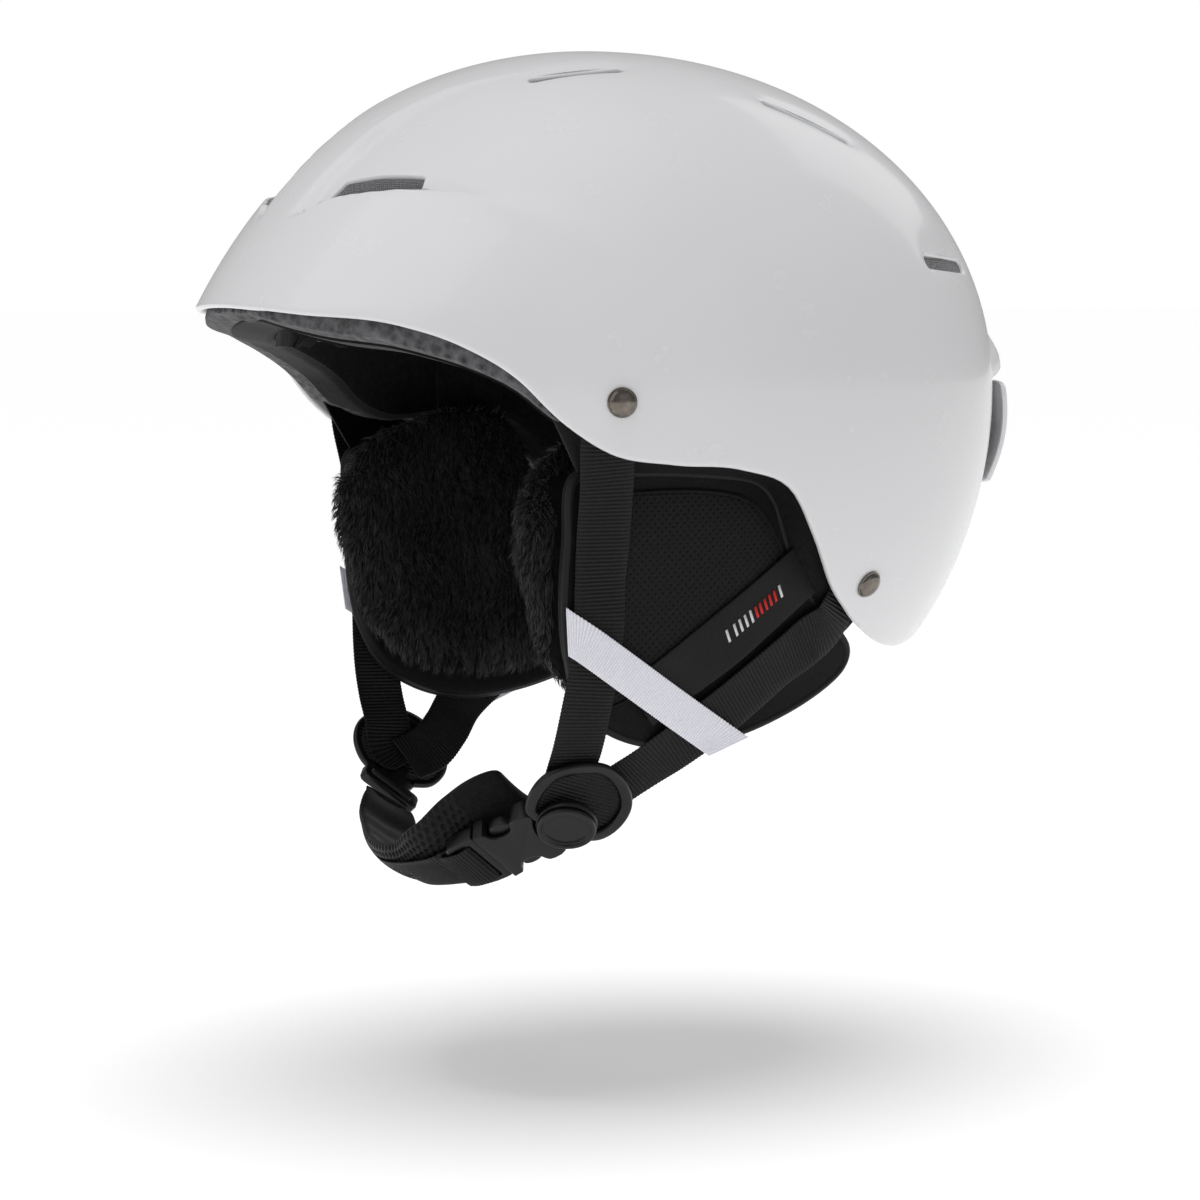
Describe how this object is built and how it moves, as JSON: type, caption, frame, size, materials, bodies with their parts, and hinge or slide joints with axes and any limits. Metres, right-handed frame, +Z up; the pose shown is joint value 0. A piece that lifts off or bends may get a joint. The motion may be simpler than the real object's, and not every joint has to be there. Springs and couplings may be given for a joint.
{
  "type": "ski helmet",
  "caption": "Hard-shell ski helmet with foam liner, vents, plush ear pads, webbing straps with a side-release chin buckle, and a goggle strap clip.",
  "frame": {"origin": "inside the head cavity, on the mid plane, at the level where the shell is widest", "axes": "+Z up to the crown, -Y the way the wearer faces, +X the wearer's left"},
  "size_m": [0.2278, 0.2884, 0.2848],
  "materials": {
    "shell_white": "gloss white paint on moulded ABS",
    "liner_foam": "dark grey expanded beads",
    "vent_mesh": "grey screen",
    "rivet_metal": "gunmetal",
    "plain_steel": "plain",
    "ribbon_white": "grosgrain",
    "label_band": "woven satin band",
    "webbing": "ribbed webbing",
    "plush": "long pile plush",
    "ear_fabric": "dimpled soft shell fabric",
    "chin_pad_mesh": "spacer mesh and fleece",
    "lining_fabric": "brushed lining",
    "black_plastic": "moulded acetal"
  },
  "bodies": {
    "root": {"brow_pad": "lining_fabric", "buckle_socket": "black_plastic", "chin_strap_anchor": "webbing", "crown_pad": "lining_fabric", "foam_liner": "liner_foam", "goggle_clip_base": "black_plastic", "goggle_clip_pin": "plain_steel", "goggle_clip_snap": "plain_steel", "left_divider": "black_plastic", "left_divider_cap": "black_plastic", "left_ear_cover": "ear_fabric", "left_ear_cushion": "plush", "left_ear_pad_tab": "lining_fabric", "left_front_rivet": "rivet_metal", "left_front_rivet_washer": "plain_steel", "left_front_strap": "webbing", "left_front_vent_mesh": "vent_mesh", "left_label_band": "label_band", "left_rear_rivet": "rivet_metal", "left_rear_rivet_washer": "plain_steel", "left_rear_strap": "webbing", "left_rear_vent_mesh": "vent_mesh", "left_side_pad": "lining_fabric", "left_top_front_vent_mesh": "vent_mesh", "left_top_rear_vent_mesh": "vent_mesh", "left_white_ribbon": "ribbon_white", "nape_pad": "lining_fabric", "outer_shell": "shell_white", "rear_pad": "lining_fabric", "right_divider": "black_plastic", "right_divider_cap": "black_plastic", "right_ear_cover": "ear_fabric", "right_ear_cushion": "plush", "right_ear_pad_tab": "lining_fabric", "right_front_rivet": "rivet_metal", "right_front_rivet_washer": "plain_steel", "right_front_strap": "webbing", "right_front_vent_mesh": "vent_mesh", "right_label_band": "label_band", "right_rear_rivet": "rivet_metal", "right_rear_rivet_washer": "plain_steel", "right_rear_strap": "webbing", "right_rear_vent_mesh": "vent_mesh", "right_side_pad": "lining_fabric", "right_top_front_vent_mesh": "vent_mesh", "right_top_rear_vent_mesh": "vent_mesh", "right_white_ribbon": "ribbon_white", "strap_bar": "black_plastic"},
    "goggle_clip": {"goggle_clip_arm": "shell_white"},
    "buckle_male": {"buckle_plug": "black_plastic", "chin_strap": "webbing", "chin_pad": "chin_pad_mesh"},
    "prong_front_body": {"prong_front": "black_plastic"},
    "prong_rear_body": {"prong_rear": "black_plastic"}
  },
  "joints": [
    {"name": "goggle_clip_hinge", "type": "hinge", "parent": "root", "child": "goggle_clip", "pos_m": [0, 0.15045, 0.013], "axis": [1, 0, 0], "range_deg": [0, 65]},
    {"name": "buckle_release", "type": "slide", "parent": "root", "child": "buckle_male", "axis": [-0.7276, -0.5285, -0.4374], "range_m": [0, 0.024], "deforming": ["prong_front", "prong_rear"]},
    {"name": "prong_rear_squeeze", "type": "hinge", "parent": "buckle_male", "child": "prong_rear_body", "pos_m": [0.04528, -0.05335, -0.14727], "axis": [0.6588, -0.3606, -0.6603], "range_deg": [0, 5], "stiffness_Nm_per_rad": 0.05},
    {"name": "prong_front_squeeze", "type": "hinge", "parent": "buckle_male", "child": "prong_front_body", "pos_m": [0.04757, -0.06257, -0.13995], "axis": [-0.6588, 0.3606, 0.6603], "range_deg": [0, 5], "stiffness_Nm_per_rad": 0.05}
  ]
}
